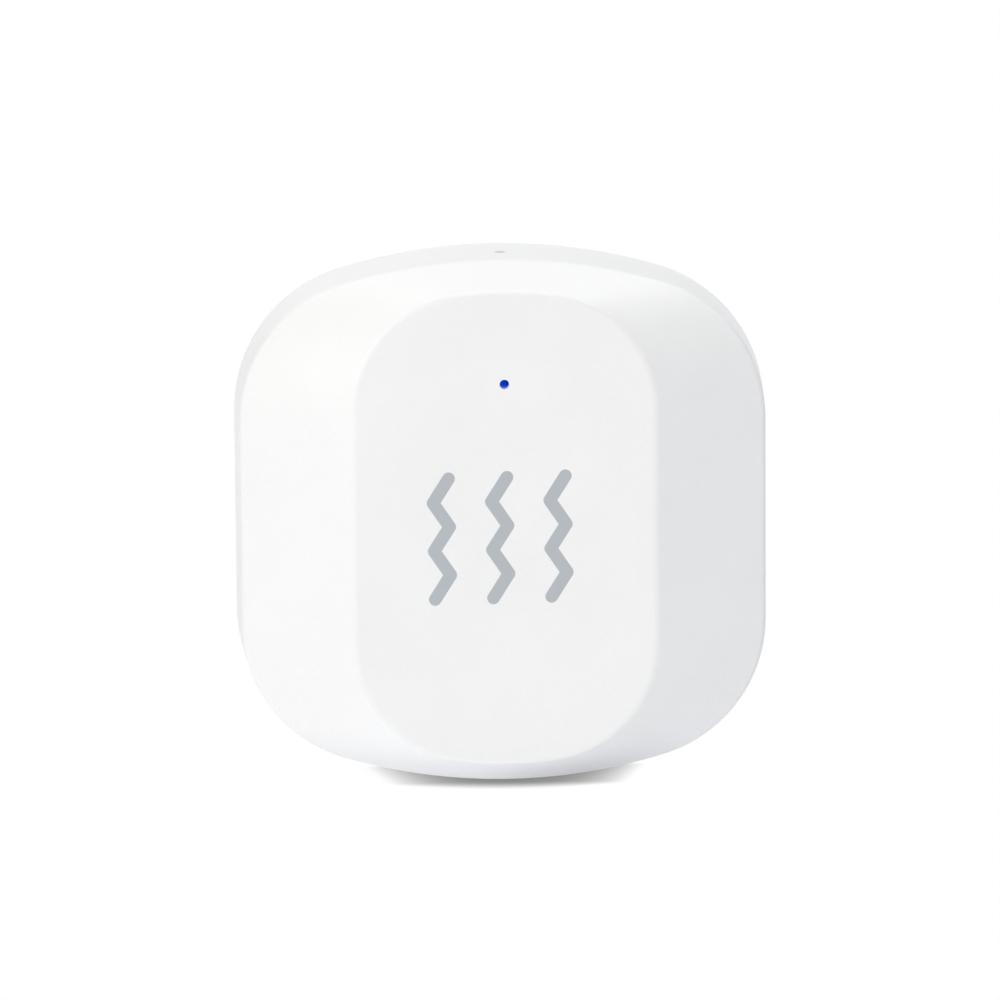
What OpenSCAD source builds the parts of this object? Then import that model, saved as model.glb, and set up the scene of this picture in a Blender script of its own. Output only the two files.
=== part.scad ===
// Stick-on vibration sensor tag: a moulded housing over a coin-cell radio board,
// closed by a pull-off rear cover that carries a foam adhesive pad.
// Every module is drawn lying on its back: x to the right, y up the front face and
// z out of the wall. upright() then stands it up, front face towards -Y.

/* [Housing] */
// Width across the rear rim
housing_w = 42; // [40:0.5:48]
// Height across the rear rim
housing_h = 42; // [40:0.5:48]
// Depth from the rear rim to the front face
housing_d = 13; // [12:0.25:18]
// Depth of the side wall, from the rear rim to the bevel
side_d = 8.5; // [7.5:0.25:10]
// Inward draft of the side wall over its depth, on each side
side_draft = 0.5; // [0.2:0.05:0.9]
// Corner radius of the rear rim
corner_r = 11.7; // [8:0.1:14]
// Radius of the crowned top and bottom of the rear rim
crown_r = 44; // [34:0.5:80]
// Thickness of the housing wall
wall = 1.5; // [1.2:0.05:1.9]
// Rounding where the side wall meets the bevel, measured along each surface
edge_round = 0.35; // [0.2:0.05:1.2]
// Rounding of the outer edge of the rear rim
rim_round = 0.3; // [0.1:0.05:0.5]

/* [Front face] */
// Width of the bevel at the left and right, seen from the front
bevel_side_w = 8.8; // [6.5:0.1:11]
// Width of the bevel at the top and bottom, seen from the front
bevel_end_w = 2.1; // [1.25:0.05:4]
// Corner radius of the front face
face_corner_r = 9.2; // [6:0.1:9.4]
// Radius of the crowned top and bottom of the front face
face_crown_r = 27; // [20:0.5:60]
// Rounding where the bevel meets the face, measured along each surface
face_round = 0.35; // [0.2:0.05:1.2]

/* [Rear cover] */
// Thickness of the cover plate
cover_t = 1.3; // [1.1:0.05:1.8]
// Width of the housing rim left showing round the cover
cover_rim = 0.8; // [0.6:0.05:1]
// Gap round the edge of the cover plate
cover_gap = 0.15; // [0.08:0.01:0.25]
// Depth of the skirt that plugs into the housing
skirt_d = 1.6; // [1:0.1:2.4]
// Thickness of the skirt
skirt_t = 1; // [0.7:0.05:1.3]
// Gap between the skirt and the housing wall
skirt_gap = 0.15; // [0.1:0.01:0.25]
// Gap left at the grip ribs on the skirt
grip_gap = 0.06; // [0.04:0.01:0.09]
// Width of the pry notch at the lower edge of the rim
notch_w = 9; // [6:0.5:12]
// Depth of the pry notch
notch_d = 1.1; // [0.6:0.05:1.3]

/* [Adhesive pad] */
// Width of the pad
pad_w = 28; // [20:0.5:30]
// Height of the pad
pad_h = 28; // [20:0.5:30]
// Thickness of the foam pad
pad_t = 1; // [0.8:0.05:1.6]
// Depth of the recess that the pad sits in
pad_recess = 0.5; // [0.2:0.05:0.6]
// Corner radius of the pad
pad_corner_r = 4; // [1:0.25:8]

/* [Coin cell] */
// Diameter of the cell
cell_d = 20; // [16:0.5:20.5]
// Thickness of the cell
cell_t = 3.2; // [2.5:0.1:3.6]
// Height of the cell's centre above the middle of the housing
cell_y = -3; // [-4:0.25:-2]
// Gap between the rear cover and the cell
cell_gap = 0.55; // [0.45:0.05:0.8]
// Height of the sprung contact between the cell and the board
contact_lift = 0.85; // [0.75:0.05:1.2]

/* [Circuit board] */
// Thickness of the board
board_t = 1; // [0.8:0.1:1.6]
// Gap between the board's edge and the housing
board_gap = 0.6; // [0.3:0.05:1]
// Diameter of the board screws
screw_d = 1.6; // [1.2:0.1:2]
// Length of the board screws under the head
screw_l = 4; // [3:0.25:4.5]

/* [Reset switch] */
// Diameter of the pin hole in the top of the housing
pin_hole_d = 0.75; // [0.7:0.05:1.2]
// Depth of the lead-in at the mouth of the pin hole
pin_lead = 0.08; // [0.04:0.02:0.2]
// Height of the plunger's axis above the board
plunger_lift = 1.2; // [1.1:0.05:1.3]
// Travel of the plunger
plunger_travel = 0.25; // [0.15:0.05:0.35]
// Gap between the plunger's tip and the housing
plunger_gap = 0.5; // [0.3:0.05:1]

/* [Indicator light] */
// Diameter of the light's hole in the front face
light_d = 0.75; // [0.6:0.05:1.6]
// Height of the light above the middle of the face
light_y = 11.25; // [9:0.05:13]
// Depth of the light pipe's tip below the face
light_recess = 0.9; // [0.1:0.05:1.1]

/* [Hidden] */
$fn = 64;

// Facets on each corner arc, each half crown arc and each rounded edge
corner_steps = 20;
crown_steps = 8;
round_steps = 5;

// How far one solid is sunk into another that it is moulded with
root = 0.4;
// Reach of a cut past the surface that it opens
past = 1;
// Running clearance on each side of a small sliding or seated piece
slip = 0.05;

// Heights above the wall that the pad sticks to
z_rim = pad_t - pad_recess;
z_ledge = z_rim + cover_t;
z_edge = z_rim + side_d;
z_face = z_rim + housing_d;
z_ceiling = z_face - wall;
z_cell = z_ledge + cell_gap;
z_cap = z_cell + cell_t;
z_board = z_cap + contact_lift;
z_front = z_board + board_t;
z_pin = z_board - plunger_lift;

// Size of the front face between the bevels
face_w = housing_w - 2 * (side_draft + bevel_side_w);
face_h = housing_h - 2 * (side_draft + bevel_end_w);

// Outlines are [half width, half height, corner radius, crown radius]
rim_outline = [housing_w / 2, housing_h / 2, corner_r, crown_r];
edge_outline = inset(rim_outline, side_draft);
face_outline = [face_w / 2, face_h / 2, face_corner_r, face_crown_r];
board_outline = inset(rim_outline, wall + draft_at(z_front) + board_gap);
cover_outline = inset(rim_outline, cover_rim + cover_gap);
skirt_outline = inset(rim_outline, wall + draft_at(z_ledge + skirt_d) + skirt_gap);

// Bosses under the front face
boss_r = 2;
screw_x = face_w / 2 - 2.7;
screw_y = face_h / 2 - 5.9;
screw_fit = 0.05;
pilot_spare = 0.3;
z_pilot = z_board + screw_l + pilot_spare;
screw_head_r = 1.5;
screw_head_h = 0.9;
screw_crown = 0.4;
screw_tip = 0.6;
peg_x = face_w / 2 - 4.2;
peg_y = -(face_h / 2 - 3.4);
peg_r = 0.9;
peg_reach = 0.2;
gusset_t = 0.8;
gusset_l = 2;
gusset_h = (z_ceiling - z_front) / 2;
rest_w = 2.5;
rest_reach = 1.3;

// Light pipe and its socket
pipe_r = 1.2;
pipe_wall = 1.2;
pipe_grip = 3;
led_size = [1.6, 0.8, 0.3];
led_lens = [1.1, 0.8, 0.35];
led_gap = 0.25;

// Rear cover details
cover_chamfer = 0.3;
pad_gap = 0.3;
grip_rib_r = 0.4;
hold_rib_l = 12;
hold_rib_w = 0.9;
hold_rib_h = cell_gap - 0.25;

// Coin cell profile
cell_r = cell_d / 2;
can_t = 0.25;
can_edge = 0.3;
can_lip = 0.45;
can_top = cell_t - 0.3;
lip_r = cell_r - can_t - can_lip;
gasket_w = 0.35;
gasket_proud = 0.05;
cap_r = lip_r - gasket_w;
cap_edge = 0.3;
cap_foot = 0.4;

// Battery holder and contacts
holder_gap = 0.2;
holder_wall = 1.3;
holder_floor = 0.5;
holder_r = cell_r + holder_gap + holder_wall;
holder_drop = 0.65;
holder_top = z_cell + holder_drop;
holder_ledge = 3;
holder_lead = 0.4;
holder_hole_r = cell_r - holder_ledge;
finger_w = 9;
hook_w = 6;
hook_t = 0.35;
hook_reach = 0.9;
contact_t = 0.25;
contact_w = 4;
clip_reach = 1.4;
clip_foot = 2.4;
spring_w = 1.8;
spring_pitch = 3.6;

// Reset switch
switch_size = [4.6, 2.4, 1.9];
switch_plate = 0.15;
switch_fold = 1.2;
terminal_w = 0.7;
plunger_w = 1.5;
plunger_t = 0.9;
plunger_reach = 1;
flange_w = 2.2;
flange_l = 0.4;
front_lip = 0.6;
dome_r = 0.95;
dome_rise = plunger_travel + slip;
dome_t = 0.08;
pin_top = housing_h / 2 - draft_at(z_pin);
plunger_tip = pin_top - wall - plunger_gap;
switch_top = plunger_tip - plunger_reach;
switch_bottom = switch_top - switch_size[1];
flange_top = switch_top - front_lip - slip;
flange_bottom = flange_top - flange_l;
dome_top = flange_bottom - slip;
dome_base = dome_top - dome_rise - dome_t;
pocket_bottom = dome_base - slip;

// Parts on the front of the board: [x, y] of each centre, and [length, width, height]
radio_at = [-9, 2];
radio_size = [5, 5, 0.85];
motion_at = [3, 3];
motion_size = [2, 2, 0.95];
crystal_at = [-9, -4.4];
crystal_size = [3.2, 2.5, 0.7];
crystal_lid = 0.25;
reservoir_at = [6, -6.4];
reservoir_size = [6, 3.2, 2.5];
antenna_turns = 9;
antenna_pitch = 1.4;
antenna_span = 4.6;
antenna_line = 0.6;
antenna_t = 0.05;
antenna_edge = 1.7;
antenna_at = [board_outline[0] - antenna_edge - antenna_span, -antenna_turns * antenna_pitch / 2];
capacitor_size = [1.6, 0.8, 0.8];
capacitor_at = [[-4.6, 4], [-4.6, 2], [-4.6, 0], [-13.8, 3.2], [-13.8, 0.8], [4.4, 0], [9.8, 1.2]];
resistor_size = [1.6, 0.8, 0.45];
resistor_at = [[3.6, 11.3], [-1.6, 6.6], [0.6, -0.6], [-5.2, -4], [-5.2, -6], [9.8, 3.4]];
end_cap = 0.3;
end_cap_proud = 0.03;

// The outline moved inwards by d, with the same arc centres
function inset(o, d) = [o[0] - d, o[1] - d, o[2] - d, o[3] - d];

// Inward draft of the side wall at height z
function draft_at(z) = side_draft * (z - z_rim) / side_d;

// Centres of the corner arc and of the crown arc, and the normal's angle where they join
function corner_x(o) = o[0] - o[2];
function crown_y(o) = o[1] - o[3];
function corner_y(o) = crown_y(o) + sqrt(pow(o[3] - o[2], 2) - pow(corner_x(o), 2));
function join_angle(o) = atan2(corner_y(o) - crown_y(o), corner_x(o));

// Point of the first quarter of an outline where its outward normal stands at angle t
function quarter_point(o, t) = t <= join_angle(o)
    ? [corner_x(o) + o[2] * cos(t), corner_y(o) + o[2] * sin(t)]
    : [o[3] * cos(t), crown_y(o) + o[3] * sin(t)];

// Normal angles of one quarter, then [angle, x sign, y sign] all the way round
quarter = let (join = join_angle(rim_outline)) concat(
    [for (i = [0:corner_steps]) join * i / corner_steps],
    [for (i = [1:crown_steps]) join + (90 - join) * i / crown_steps]);
quarter_back = [for (i = [len(quarter) - 2:-1:0]) quarter[i]];
stations = concat(
    [for (t = quarter) [t, 1, 1]],
    [for (t = quarter_back) [t, -1, 1]],
    [for (t = quarter) [t, -1, -1]],
    [for (t = quarter_back) [t, 1, -1]]);

function station_point(o, s, z) = let (p = quarter_point(o, s[0])) [s[1] * p[0], s[2] * p[1], z];
function station_normal(s) = [s[1] * cos(s[0]), s[2] * sin(s[0]), 0];
function ring(o, z) = [for (s = stations) station_point(o, s, z)];
function flat(o) = [for (s = stations) let (p = station_point(o, s, 0)) [p[0], p[1]]];

// The point d away from p on the way to q, and a point on a quadratic curve
function towards(p, q, d) = p + (q - p) * d / norm(q - p);
function curve(a, b, c, u) = (1 - u) * (1 - u) * a + 2 * u * (1 - u) * b + u * u * c;

// Corners of the housing's outer section at one station
function rim_point(s) = station_point(rim_outline, s, z_rim);
function edge_point(s) = station_point(edge_outline, s, z_edge);
function face_point(s) = station_point(face_outline, s, z_face);

// Slope of the bevel from the plane of the face at one station
function bevel_slope(s) = atan2(z_face - z_edge, (edge_point(s) - face_point(s)) * station_normal(s));

// Corners of the inner section, a wall thickness inside the outer one
function ceiling_point(s) =
    face_point(s) - station_normal(s) * wall * tan(bevel_slope(s) / 2) - [0, 0, wall];
function inner_edge_point(s) =
    edge_point(s) - station_normal(s) * wall - [0, 0, wall * tan(45 - bevel_slope(s) / 2)];

// Rounded rings of the housing at step u, from 0 to 1
function rim_ring(u) = [for (s = stations) let (p = rim_point(s))
    curve(station_point(inset(rim_outline, rim_round), s, z_rim), p,
        towards(p, edge_point(s), rim_round), u)];
function edge_ring(u) = [for (s = stations) let (p = edge_point(s))
    curve(towards(p, rim_point(s), edge_round), p, towards(p, face_point(s), edge_round), u)];
function face_ring(u) = [for (s = stations) let (p = face_point(s))
    curve(towards(p, edge_point(s), face_round), p,
        station_point(inset(face_outline, face_round), s, z_face), u)];

// Housing section from the ceiling of the cavity, round the rim, to the front face
shell_rings = concat(
    [[for (s = stations) ceiling_point(s)]],
    [[for (s = stations) inner_edge_point(s)]],
    [ring(inset(rim_outline, wall + draft_at(z_ledge)), z_ledge)],
    [ring(inset(rim_outline, cover_rim), z_ledge)],
    [ring(inset(rim_outline, cover_rim), z_rim)],
    [for (i = [0:2]) rim_ring(i / 2)],
    [for (i = [0:round_steps]) edge_ring(i / round_steps)],
    [for (i = [0:round_steps]) face_ring(i / round_steps)]);

// Cover section from its rear face, round the skirt, to its inner face
cover_rings = [
    ring(inset(cover_outline, cover_chamfer), z_rim),
    ring(cover_outline, z_rim + cover_chamfer),
    ring(cover_outline, z_ledge),
    ring(skirt_outline, z_ledge),
    ring(skirt_outline, z_ledge + skirt_d - cover_chamfer),
    ring(inset(skirt_outline, cover_chamfer), z_ledge + skirt_d),
    ring(inset(skirt_outline, skirt_t), z_ledge + skirt_d),
    ring(inset(skirt_outline, skirt_t), z_ledge)];

// Stands a piece up: the wall plane becomes y = 0 and the front faces -Y
module upright() { rotate([90, 0, 0]) children(); }

// Closed solid through rings of equal count, capped at the first and the last
module skin(rings) {
    n = len(rings[0]);
    last = len(rings) - 1;
    walls = [for (k = [0:last - 1]) for (i = [0:n - 1]) let (a = k * n + i, b = k * n + (i + 1) % n)
        each [[a, a + n, b + n], [a, b + n, b]]];
    first_cap = [for (i = [0:n - 1]) i];
    last_cap = [for (i = [n - 1:-1:0]) last * n + i];
    polyhedron(points = [for (r = rings) each r], faces = concat([first_cap, last_cap], walls));
}

// Copies on both sides of the middle
module both_sides() {
    children();
    mirror([1, 0, 0]) children();
}

// Upright cylinder between two heights
module post(r, z_a, z_b) { translate([0, 0, z_a]) cylinder(r = r, h = z_b - z_a); }

// Block centred in x and y that stands on z
module block(size, z) { translate([-size[0] / 2, -size[1] / 2, z]) cube(size); }

// Plate with round corners, centred in x and y
module round_plate(w, h, r, z_a, z_b) {
    translate([0, 0, z_a]) linear_extrude(z_b - z_a) {
        square([w - 2 * r, h], center = true);
        square([w, h - 2 * r], center = true);
        for (x = [-1, 1], y = [-1, 1]) translate([x * (w / 2 - r), y * (h / 2 - r)]) circle(r);
    }
}

// Metal strip of even thickness bent along points [x, z], its width along y
module bent_strip(points, t, w) {
    translate([0, w / 2, 0]) rotate([90, 0, 0]) linear_extrude(w) {
        for (p = points) translate(p) circle(t / 2);
        for (i = [0:len(points) - 2]) let (a = points[i], d = points[i + 1] - a)
            translate(a) rotate(atan2(d[1], d[0])) translate([0, -t / 2]) square([norm(d), t]);
    }
}

// Moulded housing: cup with a bevelled front, bosses, board rests, light and pin holes
module front_shell() color("white") upright() difference() {
    union() {
        skin(shell_rings);
        translate([0, light_y, 0])
            post(pipe_r + slip + pipe_wall, z_ceiling - pipe_grip, z_ceiling + root);
        both_sides() {
            translate([screw_x, screw_y, 0]) boss([180, 270]);
            translate([peg_x, peg_y, 0]) boss([180, 90]);
            translate([peg_x, peg_y, 0]) post(peg_r, z_board - peg_reach, z_front + root);
            board_rest();
        }
    }
    translate([0, light_y, 0]) post(pipe_r + slip, z_ceiling - pipe_grip - past, z_ceiling);
    translate([0, light_y, 0]) post(light_d / 2, z_ceiling - past, z_face + past);
    both_sides() translate([screw_x, screw_y, 0]) post(screw_d / 2 + screw_fit, z_front - past, z_pilot);
    pin_hole();
    pry_notch();
}

// Hole through the top wall above the plunger, with a lead-in at its mouth
module pin_hole() {
    translate([0, pin_top, z_pin]) rotate([-90, 0, 0]) {
        translate([0, 0, -wall - past]) cylinder(d = pin_hole_d, h = wall + 2 * past);
        translate([0, 0, -2 * pin_lead])
            cylinder(d1 = pin_hole_d - 2 * pin_lead, d2 = pin_hole_d + 4 * pin_lead, h = 3 * pin_lead);
    }
}

// Boss under the ceiling that the board rests on, with gussets at the given turns
module boss(turns) {
    post(boss_r, z_front, z_ceiling + root);
    for (turn = turns) rotate(turn) translate([0, gusset_t / 2, 0]) rotate([90, 0, 0])
        linear_extrude(gusset_t) polygon([[0, z_ceiling + root], [0, z_ceiling - gusset_h],
            [boss_r, z_ceiling - gusset_h], [boss_r + gusset_l, z_ceiling],
            [boss_r + gusset_l, z_ceiling + root]]);
}

// Rib on the side wall that backs up the edge of the board
module board_rest() {
    inner_x = housing_w / 2 - draft_at(z_front) - wall;
    translate([inner_x - rest_reach, -rest_w / 2, z_front])
        cube([rest_reach + root, rest_w, z_edge - z_front]);
}

// Round-bottomed nail notch through the lower rim
module pry_notch() {
    notch_r = (pow(notch_w / 2, 2) + pow(notch_d, 2)) / (2 * notch_d);
    translate([0, -housing_h / 2 - past, z_rim + notch_d - notch_r]) rotate([-90, 0, 0])
        cylinder(r = notch_r, h = cover_rim + 2 * past);
}

// Pull-off cover: plate with a plug-in skirt, grip ribs, a pad recess and ribs over the cell
module rear_cover() color("whitesmoke") upright() difference() {
    union() {
        skin(cover_rings);
        grip_ribs();
        translate([0, cell_y, 0]) for (turn = [0, 90]) rotate(turn)
            block([hold_rib_l, hold_rib_w, hold_rib_h + root], z_ledge - root);
    }
    round_plate(pad_w + 2 * pad_gap, pad_h + 2 * pad_gap, pad_corner_r + pad_gap, z_rim - past, pad_t);
}

// Half-round ribs on the skirt that grip the housing wall
module grip_ribs() {
    stand = skirt_gap - grip_gap;
    side_x = skirt_outline[0] + stand - grip_rib_r;
    end_y = skirt_outline[1] + stand - grip_rib_r;
    z_top = z_ledge + skirt_d - cover_chamfer;
    for (x = [-1, 1], y = [-1, 1]) translate([x * side_x, y * corner_y(rim_outline) / 2, 0])
        post(grip_rib_r, z_ledge - root, z_top);
    for (y = [-1, 1]) translate([0, y * end_y, 0]) post(grip_rib_r, z_ledge - root, z_top);
}

// Foam pad that sticks the tag to a surface
module adhesive_pad() color("gainsboro") upright() round_plate(pad_w, pad_h, pad_corner_r, 0, pad_t);

// Clear stepped pin that carries the light from the board to the face
module light_pipe() color("lightcyan", 0.6) upright() translate([0, light_y, 0]) {
    post(pipe_r, z_front + led_size[2] + led_lens[2] + led_gap, z_ceiling - slip);
    post(light_d / 2 - slip, z_ceiling - root, z_face - light_recess);
}

// Circuit board with its screw and peg holes
module main_board() color("seagreen") upright() difference() {
    translate([0, 0, z_board]) linear_extrude(board_t) polygon(flat(board_outline));
    both_sides() {
        translate([screw_x, screw_y, 0])
            post(screw_d / 2 + 3 * screw_fit, z_board - past, z_front + past);
        translate([peg_x, peg_y, 0]) post(peg_r + 2 * slip, z_board - past, z_front + past);
    }
}

// Half section of a screw, from the middle of its rounded head to its tip
screw_section = concat(
    [[0, z_board - screw_head_h]],
    [for (i = [0:3]) let (a = 30 * i)
        [screw_head_r - screw_crown * (1 - sin(a)),
            z_board - screw_head_h + screw_crown * (1 - cos(a))]],
    [[screw_head_r, z_board], [screw_d / 2, z_board], [screw_d / 2, z_board + screw_l - screw_tip],
        [screw_d / 4, z_board + screw_l], [0, z_board + screw_l]]);

// Cross-head screws that hold the board to its bosses
module board_screws() color("silver") upright() both_sides()
    translate([screw_x, screw_y, 0]) difference() {
        rotate_extrude() polygon(screw_section);
        for (turn = [0, 90]) rotate(turn)
            block([screw_head_r * 1.2, screw_head_r / 4, screw_head_h], z_board - screw_head_h * 1.5);
    }

// Light source under the pipe
module indicator_led() color("ivory") upright() translate([0, light_y, 0]) {
    block(led_size, z_front);
    block([led_lens[0], led_lens[1], led_size[2] + led_lens[2]], z_front);
}

// Chip package with a pin-one dimple
module chip(size) {
    dimple_r = size[0] / 14;
    difference() {
        block(size, z_front);
        translate([-size[0] * 0.34, size[1] * 0.34, 0])
            post(dimple_r, z_front + size[2] - dimple_r / 2, z_front + size[2] + past);
    }
}

// Radio and controller chip
module radio_chip() color("dimgray") upright() translate(radio_at) chip(radio_size);

// Acceleration sensing chip
module motion_chip() color("darkslategray") upright() translate(motion_at) chip(motion_size);

// Crystal: ceramic base with a metal lid
module crystal() color("lightgray") upright() translate(crystal_at) {
    block([crystal_size[0], crystal_size[1], crystal_size[2] - crystal_lid], z_front);
    block([crystal_size[0] - crystal_lid, crystal_size[1] - crystal_lid, crystal_size[2]], z_front);
}

// Copper meander along the edge of the board
module antenna_trace() color("peru") upright() translate([antenna_at[0], antenna_at[1], z_front])
    linear_extrude(antenna_t) {
        for (i = [0:antenna_turns]) translate([0, i * antenna_pitch])
            square([antenna_span, antenna_line]);
        for (i = [0:antenna_turns - 1])
            translate([i % 2 == 0 ? antenna_span - antenna_line : 0, i * antenna_pitch])
                square([antenna_line, antenna_pitch + antenna_line]);
    }

// Chip part with metal end caps
module end_capped(size) {
    block(size, z_front);
    for (side = [-1, 1]) translate([side * (size[0] - end_cap) / 2, 0, 0])
        block([end_cap + end_cap_proud, size[1] + end_cap_proud, size[2] + end_cap_proud], z_front);
}

// Large capacitor that feeds the radio's bursts
module reservoir_capacitor() color("goldenrod") upright()
    translate(reservoir_at) end_capped(reservoir_size);

// Small capacitors round the chips
module ceramic_capacitors() color("tan") upright()
    for (at = capacitor_at) translate(at) end_capped(capacitor_size);

// Small resistors
module chip_resistors() color("black") upright()
    for (at = resistor_at) translate(at) end_capped(resistor_size);

// Switch body with the stepped pocket that the plunger and the dome sit in
module switch_base() color("black") upright() difference() {
    translate([-switch_size[0] / 2, switch_bottom, z_board - switch_size[2]]) cube(switch_size);
    plunger_room(plunger_w, plunger_t, flange_top, switch_top + past);
    plunger_room(flange_w, plunger_t, pocket_bottom, flange_top + slip);
}

// Space for a plunger section between two heights, with running clearance
module plunger_room(w, t, y_a, y_b) {
    translate([-w / 2 - slip, y_a, z_pin - t / 2 - slip]) cube([w + 2 * slip, y_b - y_a, t + 2 * slip]);
}

// Folded metal plate over the switch
module switch_cover() color("silver") upright() {
    z_top = z_board - switch_size[2] - switch_plate;
    translate([-switch_size[0] / 2, switch_bottom, z_top])
        cube([switch_size[0], switch_size[1], switch_plate]);
    both_sides() translate([switch_size[0] / 2, switch_bottom, z_top])
        cube([switch_plate, switch_size[1], switch_plate + switch_fold]);
}

// Solder feet of the switch
module switch_terminals() color("silver") upright() both_sides()
    for (y = [switch_bottom, switch_top - terminal_w])
        translate([switch_size[0] / 2, y, z_board - switch_plate])
            cube([terminal_w, terminal_w, switch_plate]);

// Arched snap strip that returns the plunger
module switch_dome() color("silver") upright() translate([0, dome_base, z_pin]) rotate([-90, 0, 0])
    intersection() {
        dome_sphere_r = (pow(dome_r, 2) + pow(dome_rise, 2)) / (2 * dome_rise);
        block([2 * dome_r, plunger_t, dome_rise + dome_t], 0);
        translate([0, 0, dome_rise - dome_sphere_r]) difference() {
            sphere(dome_sphere_r + dome_t);
            sphere(dome_sphere_r);
        }
    }

// Plunger with a rounded nose that a pin pushes through the top of the housing
module reset_plunger() color("white") upright() {
    nose = plunger_tip - plunger_t / 2;
    translate([-plunger_w / 2, 0, z_pin]) rotate([90, 0, 90]) linear_extrude(plunger_w) {
        translate([flange_bottom, -plunger_t / 2]) square([nose - flange_bottom, plunger_t]);
        translate([nose, 0]) circle(d = plunger_t);
    }
    translate([-flange_w / 2, flange_bottom, z_pin - plunger_t / 2])
        cube([flange_w, flange_l, plunger_t]);
}

// Cradle on the back of the board that holds the coin cell, with a lead-in at its mouth
module battery_holder() color("black") upright() translate([0, cell_y, 0]) {
    difference() {
        post(holder_r, holder_top, z_board);
        post(cell_r + holder_gap, holder_top - past, z_board - holder_floor);
        translate([0, 0, holder_top - slip]) cylinder(r1 = cell_r + holder_gap + holder_lead + slip,
            r2 = cell_r + holder_gap - slip, h = holder_lead + 2 * slip);
        post(holder_hole_r, holder_top - past, z_board + past);
        block([finger_w, 2 * holder_r + past, z_board - holder_floor - holder_top + past],
            holder_top - past);
    }
    holder_hook();
}

// Hook on one side of the cradle that reaches over the cell
module holder_hook() {
    z_hook = z_cell - hook_t;
    intersection() {
        difference() {
            post(holder_r, z_hook, holder_top + root);
            post(cell_r + holder_gap, z_cell, holder_top + root + past);
            post(cell_r - hook_reach, z_hook - past, z_cell + past);
        }
        translate([-holder_r, -hook_w / 2, z_hook])
            cube([holder_wall + holder_gap + hook_reach, hook_w, holder_top + root - z_hook]);
    }
}

// Clip from the board, up the cradle and over the edge of the cell
module positive_contact() color("silver") upright() translate([0, cell_y, 0]) {
    clip_x = holder_r + slip + contact_t / 2;
    z_foot = z_board - contact_t / 2;
    z_tab = z_cell - contact_t / 2;
    bent_strip([[clip_x + clip_foot, z_foot], [clip_x, z_foot], [clip_x, z_tab],
        [cell_r - clip_reach, z_tab]], contact_t, contact_w);
}

// Sprung plate between the board and the cell
module negative_contact() color("silver") upright() translate([0, cell_y, 0]) {
    base_w = holder_hole_r;
    z_foot = z_board - contact_t / 2;
    z_touch = z_cap + contact_t / 2;
    block([base_w, spring_pitch + spring_w, contact_t], z_board - contact_t);
    for (side = [-1, 1]) translate([0, side * spring_pitch / 2, 0])
        bent_strip([[base_w / 2 - contact_t, z_foot], [-base_w / 4, z_touch], [-base_w / 2, z_touch]],
            contact_t, spring_w);
}

// Steel can of the coin cell, its flat side towards the rear cover
module cell_can() color("silver") upright() translate([0, cell_y, z_cell]) rotate_extrude()
    polygon([[0, 0], [cell_r - can_edge, 0], [cell_r, can_edge], [cell_r, can_top - can_edge / 2],
        [cell_r - can_edge / 2, can_top], [lip_r, can_top], [lip_r, can_top - can_t],
        [cell_r - can_t, can_top - can_t], [cell_r - can_t, can_t], [0, can_t]]);

// Sealing ring between the can and the cap
module cell_gasket() color("black") upright() translate([0, cell_y, z_cell]) rotate_extrude()
    polygon([[cap_r, can_t], [cell_r - can_t, can_t], [cell_r - can_t, can_top - can_t],
        [lip_r, can_top - can_t], [lip_r, can_top + gasket_proud], [cap_r, can_top + gasket_proud]]);

// Cap of the coin cell, towards the board
module cell_cap() color("lightgray") upright() translate([0, cell_y, z_cell]) rotate_extrude()
    polygon([[0, cell_t - can_t], [0, cell_t], [cap_r - cap_edge, cell_t], [cap_r, cell_t - cap_edge],
        [cap_r, can_t + cap_foot], [cap_r - can_t, can_t + cap_foot],
        [cap_r - can_t, cell_t - cap_edge - can_t / 2], [cap_r - cap_edge - can_t / 2, cell_t - can_t]]);

// Active mass sealed inside the coin cell
module cell_core() color("dimgray") upright() translate([0, cell_y, z_cell])
    post(cap_r - can_t - cap_edge, can_t, cell_t - can_t);

front_shell();
rear_cover();
adhesive_pad();
light_pipe();
main_board();
board_screws();
indicator_led();
radio_chip();
motion_chip();
crystal();
antenna_trace();
reservoir_capacitor();
ceramic_capacitors();
chip_resistors();
switch_base();
switch_cover();
switch_terminals();
switch_dome();
reset_plunger();
battery_holder();
positive_contact();
negative_contact();
cell_can();
cell_gasket();
cell_cap();
cell_core();
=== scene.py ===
"""Looks of a stick-on vibration sensor tag: the finishes of its moulded, metal and board pieces, the
printed zigzag sign, the foam pad, the solder joints, and the plain studio that it stands in. All in metres,
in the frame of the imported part."""

import math

import bpy
import numpy as np
from mathutils import Matrix, Vector


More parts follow.
